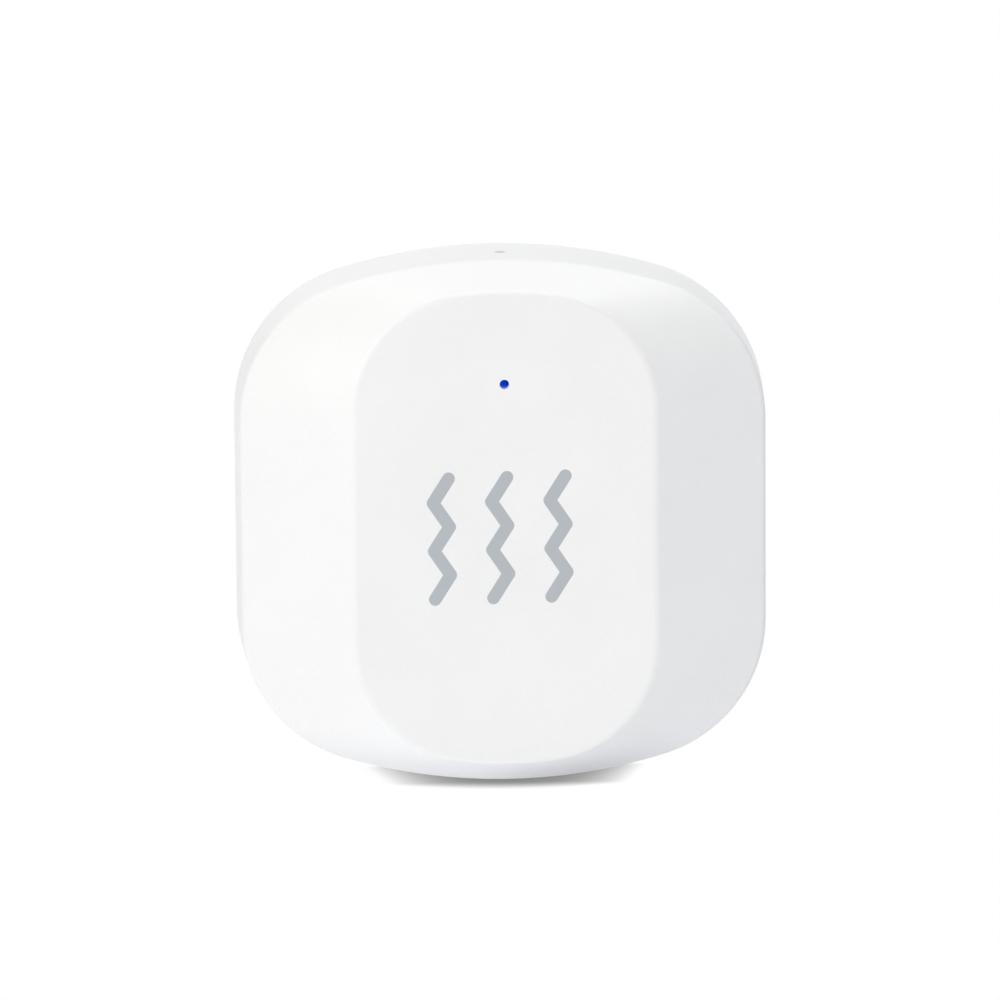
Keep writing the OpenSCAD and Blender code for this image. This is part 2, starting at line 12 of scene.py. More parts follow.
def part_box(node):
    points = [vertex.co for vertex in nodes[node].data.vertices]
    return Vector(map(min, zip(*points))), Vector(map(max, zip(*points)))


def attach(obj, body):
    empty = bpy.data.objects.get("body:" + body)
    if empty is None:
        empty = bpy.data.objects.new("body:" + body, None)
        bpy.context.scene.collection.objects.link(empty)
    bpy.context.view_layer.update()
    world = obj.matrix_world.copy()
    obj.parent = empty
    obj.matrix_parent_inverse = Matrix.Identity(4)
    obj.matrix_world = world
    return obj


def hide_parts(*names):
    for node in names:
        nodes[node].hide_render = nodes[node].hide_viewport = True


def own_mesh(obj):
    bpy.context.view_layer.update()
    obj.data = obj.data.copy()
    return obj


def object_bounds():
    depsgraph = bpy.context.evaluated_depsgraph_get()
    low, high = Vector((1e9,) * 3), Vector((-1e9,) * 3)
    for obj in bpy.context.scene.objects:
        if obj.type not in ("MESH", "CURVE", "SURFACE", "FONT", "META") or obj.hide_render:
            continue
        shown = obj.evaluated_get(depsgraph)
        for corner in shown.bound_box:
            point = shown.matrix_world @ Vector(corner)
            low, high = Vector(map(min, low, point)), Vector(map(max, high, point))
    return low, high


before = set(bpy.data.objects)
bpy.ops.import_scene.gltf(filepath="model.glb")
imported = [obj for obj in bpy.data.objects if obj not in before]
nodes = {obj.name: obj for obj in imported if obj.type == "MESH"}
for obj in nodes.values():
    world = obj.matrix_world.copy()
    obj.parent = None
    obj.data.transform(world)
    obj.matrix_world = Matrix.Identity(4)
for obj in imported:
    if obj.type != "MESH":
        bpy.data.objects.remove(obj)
cad_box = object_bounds()
scene = bpy.context.scene
scene.view_settings.view_transform = "Standard"

MM = 0.001


def node_box(node):
    """Lowest corner, highest corner and middle of a CAD node, as arrays."""
    low, high = (np.array(corner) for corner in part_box(node))
    return low, high, (low + high) / 2


# Places that the finishes and the added pieces share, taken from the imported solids
FACE_Y = node_box("front_shell")[0][1]
BOARD_FRONT_Y = node_box("main_board")[0][1]
BOARD_REAR_Y = node_box("main_board")[1][1]
FLOOR_Z = cad_box[0][2]
CELL_MIDDLE = node_box("cell_can")[2]
PIPE_MIDDLE = node_box("light_pipe")[2]
PLUNGER_MIDDLE = node_box("reset_plunger")[2]
HOLDER_R = (node_box("battery_holder")[1][2] - node_box("battery_holder")[0][2]) / 2

# Sizes of the solids that no box gives; the screws and pegs stand in pairs, at plus and minus x
SCREW_HEAD_R = 1.5 * MM
SCREW_AT = (node_box("board_screws")[1][0] - SCREW_HEAD_R, node_box("board_screws")[2][2])
PEG_AT = (7.5 * MM, -15.0 * MM)
LIGHT_HOLE_R = 0.375 * MM
LIGHT_TIP_R = LIGHT_HOLE_R - 0.05 * MM
PIN_HOLE_R = 0.375 * MM
PIN_MOUTH_R = PIN_HOLE_R + 0.08 * MM


# Shapes

def ring_faces(rings):
    """Faces over an array of rings of points: quads between neighbouring rings, and a flat end on the first
    and on the last ring. The sign of the volume that they enclose turns them all outwards."""
    count, around = rings.shape[:2]
    i, j = np.arange(count - 1)[:, None], np.arange(around)[None, :]
    k = (j + 1) % around
    quads = np.stack([i * around + j, i * around + k, (i + 1) * around + k, (i + 1) * around + j], axis=-1)
    quads = quads.reshape(-1, 4)
    ends = np.stack([np.arange(around)[::-1], np.arange(around) + (count - 1) * around])
    fans = [np.stack([np.full(around - 2, end[0]), end[1:-1], end[2:]], axis=-1) for end in ends]
    corners = np.concatenate([quads[:, [0, 1, 2]], quads[:, [0, 2, 3]], *fans])
    points = rings.reshape(-1, 3) - rings.reshape(-1, 3).mean(axis=0)
    a, b, c = (points[corners[:, side]] for side in range(3))
    if np.einsum("ij,ij->", a, np.cross(b, c)) < 0:
        return quads[:, ::-1], ends[:, ::-1]
    return quads, ends


def solids(name, ring_sets, body, caps=True):
    """One piece that rides on a body, made of closed solids. Each solid is an array of rings of points.
    Without caps its end rings have to close by themselves."""
    points, faces, base = [], [], 0
    for rings in ring_sets:
        quads, ends = ring_faces(rings)
        points.append(rings.reshape(-1, 3))
        faces += (quads + base).tolist()
        faces += (ends + base).tolist() if caps else []
        base += len(points[-1])
    mesh = bpy.data.meshes.new(name)
    mesh.from_pydata(np.concatenate(points).tolist(), [], faces)
    mesh.validate()
    piece = bpy.data.objects.new(name, mesh)
    scene.collection.objects.link(piece)
    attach(piece, body)
    return piece


def to_left(heading):
    """Unit vectors square to headings, on their left."""
    return np.stack([-np.sin(heading), np.cos(heading)], axis=-1)


def stroke_sides(path, half, steps):
    """Left and right border of a stroke along a polyline, at a half width. At each bend the outer border is
    an arc about the bend, the inner border stays at the mitre point, and both ends are half circles."""
    least_turn = 1e-6
    step = np.diff(path, axis=0)
    way = np.arctan2(step[:, 1], step[:, 0])
    before, after = np.concatenate([way[:1], way]), np.concatenate([way, way[-1:]])
    turn = (after - before + math.pi) % (2 * math.pi) - math.pi
    arc = to_left(before[:, None] + turn[:, None] * np.linspace(0, 1, steps))
    mitre = to_left(before + turn / 2)[:, None, :] / np.cos(turn / 2)[:, None, None]
    left = np.where((turn > least_turn)[:, None, None], mitre, arc)
    right = np.where((turn < -least_turn)[:, None, None], -mitre, -arc)
    ahead, aside = np.stack([np.cos(way), np.sin(way)], axis=-1), to_left(way)
    a = np.linspace(0, math.pi / 2, steps)[:, None]
    tail, tail_side = -ahead[0] * np.cos(a), aside[0] * np.sin(a)
    nose, nose_side = ahead[-1] * np.sin(a), aside[-1] * np.cos(a)
    left[0], right[0] = tail + tail_side, tail - tail_side
    left[-1], right[-1] = nose + nose_side, nose - nose_side
    centre = path[:, None, :]
    return (centre + half * left).reshape(-1, 2), (centre + half * right).reshape(-1, 2)


def ink_film(path, half, face_y, film):
    """Rings of a closed film of ink along a stroke: at each station the two borders, sunk into the
    face and proud of it by the same small depth."""
    arc_steps = 9
    left, right = stroke_sides(path, half, arc_steps)
    back, front = np.full(len(left), face_y + film), np.full(len(left), face_y - film)
    corners = ((left, back), (left, front), (right, front), (right, back))
    return np.stack([np.stack([side[:, 0], y, side[:, 1]], axis=-1) for side, y in corners], axis=1)


def zigzag(centre, swing, rise, bends):
    """Polyline of evenly spaced bends that swings from side to side about a centre, from the top down."""
    i = np.arange(bends)
    x = centre[0] + swing * (1 - 2 * (i % 2))
    z = centre[1] + rise * ((bends - 1) / 2 - i)
    return np.stack([x, z], axis=-1)


def round_rectangle(half_x, half_z, radius, inset, steps):
    """Points (x, z) round a rectangle with round corners, moved inwards by inset about the same corner
    centres."""
    a = (np.arange(4)[:, None] + np.linspace(0, 1, steps)[None, :]) * math.pi / 2
    side_x, side_z = np.array([1, -1, -1, 1])[:, None], np.array([1, 1, -1, -1])[:, None]
    x = side_x * (half_x - radius) + (radius - inset) * np.cos(a)
    z = side_z * (half_z - radius) + (radius - inset) * np.sin(a)
    return np.stack([x.ravel(), z.ravel()], axis=-1)


def die_cut_foam(low, high, radius, film, draw):
    """Rings of foam tape cut to a round-cornered square: full size at the two adhesive films, whose outer
    edges are broken a little, and between them drawn in by a parabola through the thickness."""
    levels, corner_steps, step_in = 13, 11, 0.15
    edge_depth, edge_inset = film / 5, film / 4
    depth = high[1] - low[1]
    u = np.linspace(-1, 1, levels)
    foam_t = film + (depth - 2 * film) * (u + 1) / 2
    t = np.concatenate([[0, edge_depth, film], foam_t, [depth - film, depth - edge_depth, depth]])
    inset = np.concatenate([[edge_inset, 0, 0], draw * (1 + step_in - u ** 2), [0, 0, edge_inset]])
    half = (high - low) / 2
    outline = np.stack([round_rectangle(half[0], half[2], radius, d, corner_steps) for d in inset])
    y = np.broadcast_to((high[1] - t)[:, None], outline.shape[:2])
    return np.stack([outline[..., 0], y, outline[..., 1]], axis=-1)


def solder_mound(centre, half_x, half_z, height, plane_y):
    """Rings of solder on a board pad: a squarish dome, level in the middle, that falls to the pad in a
    hollow curve and ends just below it."""
    levels, around = 15, 40
    first_ring, fall_over, hollow, squareness, sink = 0.3, 0.45, 1.6, 0.55, 0.02 * MM
    s = np.concatenate([np.linspace(first_ring, 1, levels), [1.0]])
    a = np.linspace(0, 2 * math.pi, around, endpoint=False)
    round_x, round_z = (np.sign(f) * np.abs(f) ** squareness for f in (np.cos(a), np.sin(a)))
    rise = height * np.clip((1 - s) / fall_over, 0, 1) ** hollow
    rise[-1] = -sink
    x, z = centre[0] + half_x * s[:, None] * round_x, centre[1] + half_z * s[:, None] * round_z
    return np.stack([x, np.broadcast_to(plane_y + rise[:, None], x.shape), z], axis=-1)


def snap_strip(low, high, thick):
    """Rings of a thin strip cut from a ball's shell: both surfaces are round about one centre below it."""
    along, across = 41, 9
    half_x, half_y = (high[:2] - low[:2]) / 2
    rise = high[2] - low[2] - thick
    ball = (half_x ** 2 + rise ** 2) / (2 * rise)
    x = np.linspace(-half_x, half_x, along)[:, None]
    y = np.linspace(-half_y, half_y, across)[None, :]
    upper = rise - ball + np.sqrt((ball + thick) ** 2 - x ** 2 - y ** 2)
    lower = np.maximum(rise - ball + np.sqrt(ball ** 2 - x ** 2 - y ** 2), 0)
    z = np.concatenate([upper, lower[:, ::-1]], axis=1) + low[2]
    y = np.broadcast_to(np.concatenate([y, y[:, ::-1]], axis=1), z.shape) + (low[1] + high[1]) / 2
    return np.stack([np.broadcast_to(x, z.shape), y, z], axis=-1)


# Shader helpers

BLACK = (0.0, 0.0, 0.0)
NOISE_RANGE = (0.3, 0.7)
LINE_RANGE = (0.2, 0.8)
GRAIN_DEPTH = 0.02 * MM


def add(tree, kind, inputs=None, **settings):
    """A node of a kind with its settings, whose inputs are set to values or linked from sockets."""
    node = tree.nodes.new(kind)
    for key, value in settings.items():
        setattr(node, key, value)
    for key, value in (inputs or {}).items():
        if isinstance(value, bpy.types.NodeSocket):
            tree.links.new(value, node.inputs[key])
        else:
            node.inputs[key].default_value = value
    return node


def feed(tree, shader, sockets):
    """Links sockets to a shader's inputs by their names."""
    for name, socket in sockets.items():
        tree.links.new(socket, shader.inputs[name])


def new_material(name):
    """An empty material and its tree, with the Principled shader wired to the output."""
    material = bpy.data.materials.new(name)
    material.use_nodes = True
    tree = material.node_tree
    tree.nodes.clear()
    shader = add(tree, "ShaderNodeBsdfPrincipled")
    add(tree, "ShaderNodeOutputMaterial", {"Surface": shader.outputs["BSDF"]})
    return material, tree, shader


def calc(tree, operation, *values):
    """Result of a math node on sockets or numbers."""
    return add(tree, "ShaderNodeMath", dict(enumerate(values)), operation=operation).outputs[0]


def span(tree, value, low, high, to_low=0.0, to_high=1.0):
    """A value brought from the range low to high into another range, held at its ends."""
    inputs = {"Value": value, "From Min": low, "From Max": high, "To Min": to_low, "To Max": to_high}
    return add(tree, "ShaderNodeMapRange", inputs).outputs["Result"]


def about(tree, noise, value, swing):
    """A value that noise swings up and down."""
    return span(tree, noise, *NOISE_RANGE, value - swing, value + swing)


def blend(tree, factor, first, second):
    """Colour between two colours or colour sockets by a factor. The node's inputs 6 and 7 and its output
    2 are the ones for colours."""
    ends = [end if isinstance(end, bpy.types.NodeSocket) else (*end, 1.0) for end in (first, second)]
    return add(tree, "ShaderNodeMix", {0: factor, 6: ends[0], 7: ends[1]}, data_type="RGBA").outputs[2]


def shaded(colour, share):
    """A colour at a share of its brightness."""
    return [part * share for part in colour]


def parts_of(tree, middle=(0, 0, 0)):
    """Sockets of a place on the piece in metres, as seen from a middle: the vector, x, y and z."""
    place = add(tree, "ShaderNodeTexCoord").outputs["Object"]
    shift = {"Vector": place, "Location": -Vector(middle)}
    local = add(tree, "ShaderNodeMapping", shift).outputs["Vector"]
    split = add(tree, "ShaderNodeSeparateXYZ", {"Vector": local})
    return local, split.outputs["X"], split.outputs["Y"], split.outputs["Z"]


def facing_y(tree, coordinate):
    """How squarely the surface faces along y, to the front or to the rear, from 0 to 1."""
    split = add(tree, "ShaderNodeSeparateXYZ", {"Vector": coordinate.outputs["Normal"]})
    return calc(tree, "ABSOLUTE", split.outputs["Y"])


def length(tree, a, b):
    """Distance from an axis, from the two offsets square to it."""
    return calc(tree, "SQRT", calc(tree, "ADD", calc(tree, "MULTIPLY", a, a), calc(tree, "MULTIPLY", b, b)))


def inside(tree, value, edge, soft=0.02 * MM):
    """1 where a value is below an edge, 0 where it is above, with a soft border."""
    return span(tree, value, edge + soft, edge - soft)


def cross_mask(tree, x, z, reach, half):
    """1 on a plus sign of two bars with a reach and a half width, 0 off it."""
    x, z = calc(tree, "ABSOLUTE", x), calc(tree, "ABSOLUTE", z)
    bars = [calc(tree, "MAXIMUM", calc(tree, "SUBTRACT", a, reach), calc(tree, "SUBTRACT", b, half))
            for a, b in ((x, z), (z, x))]
    return inside(tree, calc(tree, "MINIMUM", *bars), 0.0)


def raise_surface(tree, shader, height, strength, distance):
    """Bump from a height, straight into the shader."""
    bump = add(tree, "ShaderNodeBump", {"Height": height, "Strength": strength, "Distance": distance})
    feed(tree, shader, {"Normal": bump.outputs["Normal"]})


def moulded_grain():
    """Group for the even grain of a spark-eroded mould: fine noise for height, wide noise for the cloud."""
    group = bpy.data.node_groups.new("moulded_grain", "ShaderNodeTree")
    pairs = (("Grain per metre", "Height"), ("Cloud per metre", "Cloud"))
    for fineness, result in pairs:
        group.interface.new_socket(name=fineness, in_out="INPUT", socket_type="NodeSocketFloat")
        group.interface.new_socket(name=result, in_out="OUTPUT", socket_type="NodeSocketFloat")
    entry, leave = add(group, "NodeGroupInput"), add(group, "NodeGroupOutput")
    place = add(group, "ShaderNodeTexCoord").outputs["Object"]
    for fineness, result in pairs:
        inputs = {"Vector": place, "Scale": entry.outputs[fineness], "Detail": 2.0}
        noise = add(group, "ShaderNodeTexNoise", inputs)
        group.links.new(noise.outputs["Fac"], leave.inputs[result])
    return group


GRAIN = moulded_grain()


def grain(tree, per_metre, cloud=140.0):
    """Height and cloud sockets of the moulded grain at a fineness."""
    fineness = {"Grain per metre": per_metre, "Cloud per metre": cloud}
    node = add(tree, "ShaderNodeGroup", fineness, node_tree=GRAIN)
    return node.outputs["Height"], node.outputs["Cloud"]


# Finishes

def grained(name, colour, rough, per_metre, bump, tint):
    """Moulded plastic with its tree and shader: an even colour with a faint cloud and speckle, and
    roughness and bump from the grain."""
    material, tree, shader = new_material(name)
    height, cloud = grain(tree, per_metre)
    mottle = span(tree, calc(tree, "MULTIPLY", calc(tree, "ADD", height, cloud), 0.5), *NOISE_RANGE)
    feed(tree, shader, {"Base Color": blend(tree, mottle, shaded(colour, 1 - tint), colour),
                        "Roughness": about(tree, height, rough, 0.05)})
    raise_surface(tree, shader, height, bump, GRAIN_DEPTH)
    return material, tree, shader


def moulded(name, colour, rough, per_metre=6000.0, bump=0.1):
    """Plain moulded plastic."""
    return grained(name, colour, rough, per_metre, bump, tint=0.02)[0]


def housing_plastic(name, colour, rough):
    """The housing's satin plastic, with painted blue light glowing in the bore that the light shines
    through, and painted shade darkening the mouth of the pin hole."""
    bore_blue, pin_shade_grey = (0.02, 0.05, 0.2), (0.4, 0.4, 0.4)
    material, tree, shader = grained(name, colour, rough, per_metre=5200.0, bump=0.6, tint=0.04)
    clean = shader.inputs["Base Color"].links[0].from_socket
    # painted light: the bore wall round the light pipe glows blue
    _, x, _, z = parts_of(tree, PIPE_MIDDLE)
    bore = inside(tree, length(tree, x, z), LIGHT_HOLE_R + 0.01 * MM, 0.005 * MM)
    # painted shade: the base colour darkens in the mouth of the pin hole
    _, x, y, z = parts_of(tree, PLUNGER_MIDDLE)
    deep = span(tree, length(tree, x, y), PIN_MOUTH_R, PIN_HOLE_R)
    pin_shade = calc(tree, "MULTIPLY", deep, calc(tree, "GREATER_THAN", z, 0.0))
    feed(tree, shader, {"Base Color": blend(tree, pin_shade, clean, pin_shade_grey),
                        "Emission Color": blend(tree, bore, BLACK, bore_blue)})
    shader.inputs["Emission Strength"].default_value = 1.0
    return material


def cover_plastic(name, colour, rough):
    """The rear cover's plastic, with the round witness marks of four ejector pins on its inner face."""
    mark_at, mark_r, mark_half, inner_y = 11.5 * MM, 1.5 * MM, 0.06 * MM, -1.4 * MM
    material, tree, shader = new_material(name)
    height, cloud = grain(tree, 5000.0)
    clouded = blend(tree, span(tree, cloud, *NOISE_RANGE), shaded(colour, 0.98), colour)
    feed(tree, shader, {"Base Color": clouded, "Roughness": about(tree, height, rough, 0.05)})
    _, x, y, z = parts_of(tree)
    across, up = (calc(tree, "SUBTRACT", calc(tree, "ABSOLUTE", way), mark_at) for way in (x, z))
    from_rim = calc(tree, "ABSOLUTE", calc(tree, "SUBTRACT", length(tree, across, up), mark_r))
    groove = calc(tree, "MULTIPLY", inside(tree, from_rim, mark_half, 0.05 * MM), inside(tree, y, inner_y))
    level = calc(tree, "SUBTRACT", calc(tree, "MULTIPLY", height, 0.12), groove)
    raise_surface(tree, shader, level, 1.0, GRAIN_DEPTH)
    return material


def metal(name, colour, rough, stretch=(1.0, 1.0, 25.0)):
    """Bare metal: noise drives colour, roughness and bump, and a stretch squeezes it into drawn lines."""
    material, tree, shader = new_material(name)
    place = add(tree, "ShaderNodeTexCoord").outputs["Object"]
    drawn = add(tree, "ShaderNodeMapping", {"Vector": place, "Scale": stretch}).outputs["Vector"]
    lines = add(tree, "ShaderNodeTexNoise", {"Vector": drawn, "Scale": 900.0, "Detail": 4.0}).outputs["Fac"]
    shader.inputs["Metallic"].default_value = 1.0
    feed(tree, shader, {"Base Color": blend(tree, lines, shaded(colour, 0.84), colour),
                        "Roughness": span(tree, lines, *LINE_RANGE, rough - 0.1, rough + 0.1)})
    raise_surface(tree, shader, lines, 0.08, GRAIN_DEPTH)
    return material


def coin_cell_steel(name):
    """Plated cell can: turned rings, a cloudy sheen, and a plus sign pressed into the flat side."""
    rings_per_metre = 9000.0
    sign_z, sign_reach, sign_half, sign_depth = 5.6 * MM, 1.5 * MM, 0.28 * MM, 0.06 * MM
    dull, bright, pressed = (0.56, 0.555, 0.54), (0.7, 0.695, 0.68), (0.36, 0.355, 0.35)
    material, tree, shader = new_material(name)
    local, x, _, z = parts_of(tree, CELL_MIDDLE)
    ring = {"W": calc(tree, "MULTIPLY", length(tree, x, z), rings_per_metre), "Scale": 1.0, "Detail": 3.0}
    turned = add(tree, "ShaderNodeTexNoise", ring, noise_dimensions="1D").outputs["Fac"]
    wear = add(tree, "ShaderNodeTexNoise", {"Vector": local, "Scale": 260.0, "Detail": 5.0}).outputs["Fac"]
    sign = cross_mask(tree, x, calc(tree, "SUBTRACT", z, sign_z), sign_reach, sign_half)
    rough = span(tree, turned, *LINE_RANGE, 0.2, 0.34)
    shader.inputs["Metallic"].default_value = 1.0
    feed(tree, shader, {"Base Color": blend(tree, sign, blend(tree, wear, dull, bright), pressed),
                        "Roughness": calc(tree, "ADD", rough, calc(tree, "MULTIPLY", sign, 0.2))})
    level = calc(tree, "SUBTRACT", calc(tree, "MULTIPLY", turned, 0.05), sign)
    raise_surface(tree, shader, level, 0.9, sign_depth)
    return material


def foam(name):
    """Closed-cell foam tape: fine cells on the cut edge, and a smoother adhesive film on the two faces."""
    cells_per_metre, cell_depth = 4200.0, 0.05 * MM
    material, tree, shader = new_material(name)
    coordinate = add(tree, "ShaderNodeTexCoord")
    cells = add(tree, "ShaderNodeTexVoronoi",
                {"Vector": coordinate.outputs["Object"], "Scale": cells_per_metre}).outputs["Distance"]
    height, cloud = grain(tree, 2600.0, 420.0)
    film = span(tree, facing_y(tree, coordinate), 0.6, 0.9)
    edge = blend(tree, cells, (0.46, 0.475, 0.5), (0.66, 0.675, 0.7))
    face = blend(tree, span(tree, cloud, 0.35, 0.65), (0.592, 0.607, 0.63), (0.622, 0.637, 0.66))
    feed(tree, shader, {"Base Color": blend(tree, film, edge, face),
                        "Roughness": span(tree, film, 0.0, 1.0, 0.9, 0.42)})
    open_cells = calc(tree, "MULTIPLY", cells, span(tree, film, 0.0, 1.0, 1.0, 0.1))
    level = calc(tree, "ADD", open_cells, calc(tree, "MULTIPLY", height, 0.35))
    raise_surface(tree, shader, level, 0.35, cell_depth)
    return material


def copper_tracks(tree, local, x, z):
    """1 on copper under the resist: blocks of tracks that run up or across, or a full pour."""
    pitch, half_line = 0.45 * MM, 0.11 * MM
    up_below, pour_above = 0.36, 0.68
    blocks = add(tree, "ShaderNodeTexVoronoi", {"Vector": local, "Scale": 150.0, "Randomness": 0.85},
                 distance="CHEBYCHEV").outputs["Color"]
    pick = add(tree, "ShaderNodeSeparateColor", {"Color": blocks}).outputs["Red"]
    upright, level = (inside(tree, calc(tree, "PINGPONG", way, pitch), half_line) for way in (x, z))
    runs_up, poured = calc(tree, "LESS_THAN", pick, up_below), calc(tree, "GREATER_THAN", pick, pour_above)
    tracks = add(tree, "ShaderNodeMix", {0: runs_up, 2: level, 3: upright}).outputs[0]
    return calc(tree, "MAXIMUM", tracks, poured)


def bare_copper(tree, x, z, hole_ring):
    """1 where the resist is open: the rings of the plated holes, rings at the screws and pegs, and a row of
    round test pads near the lower edge."""
    screw_ring_r, peg_ring_r = SCREW_HEAD_R + 0.55 * MM, 1.5 * MM
    pad_r, pad_z = 0.55 * MM, -16.7 * MM
    half_pitch, half_row, whole_pitches = 1.0 * MM, 4.9 * MM, 20.0 * MM
    bare, side = hole_ring, calc(tree, "ABSOLUTE", x)
    for (at_x, at_z), ring_r in ((SCREW_AT, screw_ring_r), (PEG_AT, peg_ring_r)):
        away = length(tree, calc(tree, "SUBTRACT", side, at_x), calc(tree, "SUBTRACT", z, at_z))
        bare = calc(tree, "MAXIMUM", bare, inside(tree, away, ring_r))
    along = calc(tree, "PINGPONG", calc(tree, "ADD", x, whole_pitches), half_pitch)
    pad = inside(tree, length(tree, along, calc(tree, "SUBTRACT", z, pad_z)), pad_r)
    row = calc(tree, "MULTIPLY", pad, inside(tree, side, half_row))
    return calc(tree, "MAXIMUM", bare, row)


def board_ink(tree, x, z, bare):
    """1 on the printed ring round the cell holder and the plus sign beside it, but not on bare copper."""
    ring_gap, ring_half = 0.7 * MM, 0.08 * MM
    sign_x, sign_rise, sign_reach, sign_half = 14.2 * MM, 3.9 * MM, 0.7 * MM, 0.11 * MM
    from_cell = length(tree, x, calc(tree, "SUBTRACT", z, CELL_MIDDLE[2]))
    from_ring = calc(tree, "ABSOLUTE", calc(tree, "SUBTRACT", from_cell, HOLDER_R + ring_gap))
    sign = cross_mask(tree, calc(tree, "SUBTRACT", x, sign_x),
                      calc(tree, "SUBTRACT", z, CELL_MIDDLE[2] + sign_rise), sign_reach, sign_half)
    ink = calc(tree, "MAXIMUM", inside(tree, from_ring, ring_half), sign)
    return calc(tree, "MULTIPLY", ink, calc(tree, "SUBTRACT", 1.0, bare))


def circuit_board(name):
    """Solder resist over copper, with plated holes whose dark middles are painted shade, bare copper,
    print, and laminate on the cut edge.
    """
    thin_green, copper_green = (0.006, 0.085, 0.036), (0.016, 0.15, 0.066)
    plating, hole_shade, ink_white = (0.74, 0.6, 0.34), (0.03, 0.03, 0.025), (0.78, 0.78, 0.74)
    laminate_dark, laminate_pale = (0.3, 0.26, 0.11), (0.42, 0.37, 0.18)
    material, tree, shader = new_material(name)
    local, x, _, z = parts_of(tree)
    copper = copper_tracks(tree, local, x, z)
    spots = add(tree, "ShaderNodeTexVoronoi",
                {"Vector": local, "Scale": 300.0, "Randomness": 0.9}).outputs["Distance"]
    hole_ring, hole = inside(tree, spots, 0.085, 0.008), inside(tree, spots, 0.04, 0.008)
    bare = bare_copper(tree, x, z, hole_ring)
    ink = board_ink(tree, x, z, bare)
    edge = inside(tree, facing_y(tree, add(tree, "ShaderNodeTexCoord")), 0.5, 0.1)
    height, cloud = grain(tree, 2500.0, 300.0)
    resist = blend(tree, copper, thin_green, copper_green)
    # painted shade: each plated hole's middle is near black, for the shade inside it
    open_copper = blend(tree, hole, plating, hole_shade)
    face = blend(tree, ink, blend(tree, bare, resist, open_copper), ink_white)
    laminate = blend(tree, cloud, laminate_dark, laminate_pale)
    plated = calc(tree, "MULTIPLY", calc(tree, "SUBTRACT", bare, hole), calc(tree, "SUBTRACT", 1.0, edge))
    rough = calc(tree, "ADD", about(tree, height, 0.32, 0.04), calc(tree, "MULTIPLY", edge, 0.4))
    feed(tree, shader, {"Base Color": blend(tree, edge, face, laminate),
                        "Metallic": calc(tree, "MAXIMUM", plated, 0.0), "Roughness": rough})
    layers = calc(tree, "MAXIMUM", calc(tree, "MULTIPLY", copper, 0.6), ink)
    level = calc(tree, "ADD", calc(tree, "MULTIPLY", height, 0.15), calc(tree, "SUBTRACT", layers, hole))
    raise_surface(tree, shader, level, 0.6, 0.03 * MM)
    return material


def chip_part(name, colour, rough, body_height):
    """Chip part on the board's front: its body, with tinned end caps that stand proud of the body's top."""
    tin, proud = (0.7, 0.69, 0.66), 0.012 * MM
    material, tree, shader = new_material(name)
    height, cloud = grain(tree, 5000.0, 600.0)
    _, _, y, _ = parts_of(tree)
    cap = inside(tree, y, BOARD_FRONT_Y - body_height - proud, 0.002 * MM)
    body = blend(tree, cloud, shaded(colour, 0.9), colour)
    feed(tree, shader, {"Base Color": blend(tree, cap, body, tin), "Metallic": cap,
                        "Roughness": about(tree, height, rough, 0.06)})
    raise_surface(tree, shader, height, 0.1, GRAIN_DEPTH)
    return material


def lit_tip(name):
    """Clear light pipe lit from behind: blue at the middle, navy to the upper right where painted shade of
    the hole's wall falls, and paler towards its lower edge with a painted highlight."""
    middle_blue, left_blue, shaded_navy = (0.0, 0.037, 0.5), (0.012, 0.055, 0.33), (0.003, 0.012, 0.14)
    glint_blue = (0.03, 0.11, 0.7)
    radius = LIGHT_TIP_R
    material, tree, shader = new_material(name)
    _, x, _, z = parts_of(tree, PIPE_MIDDLE)
    slope_x, slope_z = calc(tree, "MULTIPLY", x, 0.75 / radius), calc(tree, "MULTIPLY", z, 0.65 / radius)
    # painted shade: the tip turns navy towards the upper right, where the hole's wall would shade it
    ring = blend(tree, span(tree, calc(tree, "ADD", slope_x, slope_z), -0.7, 0.6), left_blue, shaded_navy)
    outwards = span(tree, length(tree, x, z), 0.35 * radius, 0.95 * radius)
    # painted highlight: the tip turns paler towards its lower edge
    glint = span(tree, z, -0.45 * radius, -1.1 * radius)
    glow = blend(tree, glint, blend(tree, outwards, middle_blue, ring), glint_blue)
    feed(tree, shader, {"Emission Color": glow})
    shader.inputs["Emission Strength"].default_value = 1.0
    shader.inputs["Base Color"].default_value = (0.0, 0.002, 0.02, 1.0)
    shader.inputs["Specular IOR Level"].default_value = 0.01
    shader.inputs["Roughness"].default_value = 0.3
    return material


def smooth(piece, crease=40.0):
    """Smooth shading that breaks at edges sharper than the crease angle, with large faces kept even."""
    piece.data.polygons.foreach_set("use_smooth", np.ones(len(piece.data.polygons), dtype=bool))
    piece.modifiers.new("join", "WELD").merge_threshold = 0.002 * MM
    piece.modifiers.new("crease", "EDGE_SPLIT").split_angle = math.radians(crease)
    piece.modifiers.new("even", "WEIGHTED_NORMAL").keep_sharp = True


def dress(piece, material):
    """Gives a piece its finish and smooth shading."""
    piece.data.materials.clear()
    piece.data.materials.append(material)
    smooth(piece)


holder_black = moulded("holder_black", (0.018, 0.018, 0.019), 0.45, per_metre=4500.0, bump=0.25)
chip_black = moulded("chip_black", (0.02, 0.02, 0.022), 0.55)
nickel = metal("nickel_plate", (0.74, 0.715, 0.67), 0.28)
solder = metal("solder", (0.66, 0.66, 0.67), 0.3, stretch=(1.0, 1.0, 1.0))
ink_grey = moulded("ink_grey", (0.44, 0.47, 0.5), 0.5, bump=0.03)

